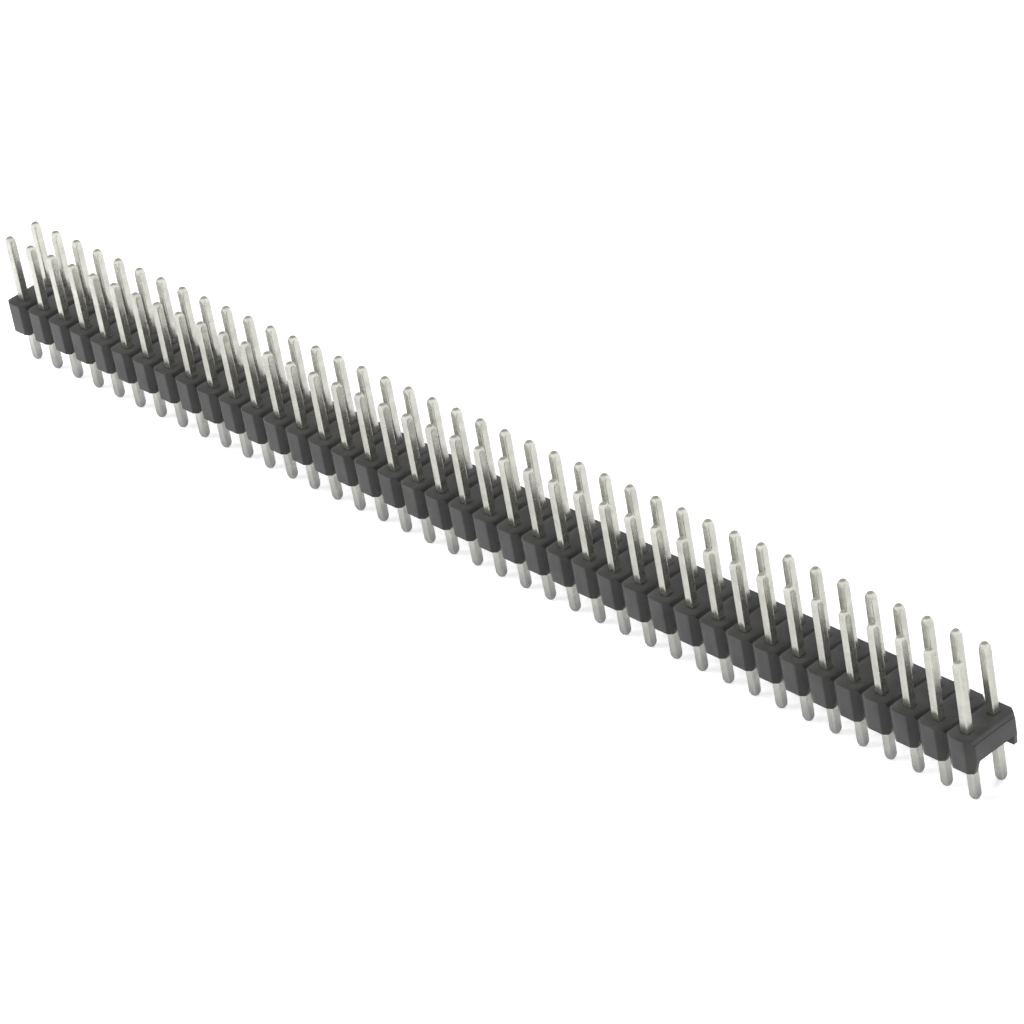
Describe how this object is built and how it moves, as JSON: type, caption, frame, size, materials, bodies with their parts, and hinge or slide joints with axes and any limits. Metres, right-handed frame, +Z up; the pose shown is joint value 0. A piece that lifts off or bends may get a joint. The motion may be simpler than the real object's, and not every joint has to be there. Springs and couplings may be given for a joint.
{
  "type": "pin header strip",
  "caption": "Straight breakaway double-row pin header: a notched black insulator strip with square tin-plated pins pressed through it.",
  "frame": {"origin": "middle of the strip's footprint on the seating plane, where the insulator's feet meet the circuit board", "axes": "+X along the strip, +Y across the two rows, +Z up along the mating posts, away from the board"},
  "size_m": [0.1016, 0.0048, 0.011],
  "materials": {
    "insulator": "black glass-filled moulding plastic with a slight satin sheen",
    "pin_plating": "bright tin plate over brass wire"
  },
  "bodies": {
    "root": {"housing": "insulator", "pin_pair_01": "pin_plating", "pin_pair_02": "pin_plating", "pin_pair_03": "pin_plating", "pin_pair_04": "pin_plating", "pin_pair_05": "pin_plating", "pin_pair_06": "pin_plating", "pin_pair_07": "pin_plating", "pin_pair_08": "pin_plating", "pin_pair_09": "pin_plating", "pin_pair_10": "pin_plating", "pin_pair_11": "pin_plating", "pin_pair_12": "pin_plating", "pin_pair_13": "pin_plating", "pin_pair_14": "pin_plating", "pin_pair_15": "pin_plating", "pin_pair_16": "pin_plating", "pin_pair_17": "pin_plating", "pin_pair_18": "pin_plating", "pin_pair_19": "pin_plating", "pin_pair_20": "pin_plating", "pin_pair_21": "pin_plating", "pin_pair_22": "pin_plating", "pin_pair_23": "pin_plating", "pin_pair_24": "pin_plating", "pin_pair_25": "pin_plating", "pin_pair_26": "pin_plating", "pin_pair_27": "pin_plating", "pin_pair_28": "pin_plating", "pin_pair_29": "pin_plating", "pin_pair_30": "pin_plating", "pin_pair_31": "pin_plating", "pin_pair_32": "pin_plating", "pin_pair_33": "pin_plating", "pin_pair_34": "pin_plating", "pin_pair_35": "pin_plating", "pin_pair_36": "pin_plating", "pin_pair_37": "pin_plating", "pin_pair_38": "pin_plating", "pin_pair_39": "pin_plating", "pin_pair_40": "pin_plating"}
  },
  "joints": []
}
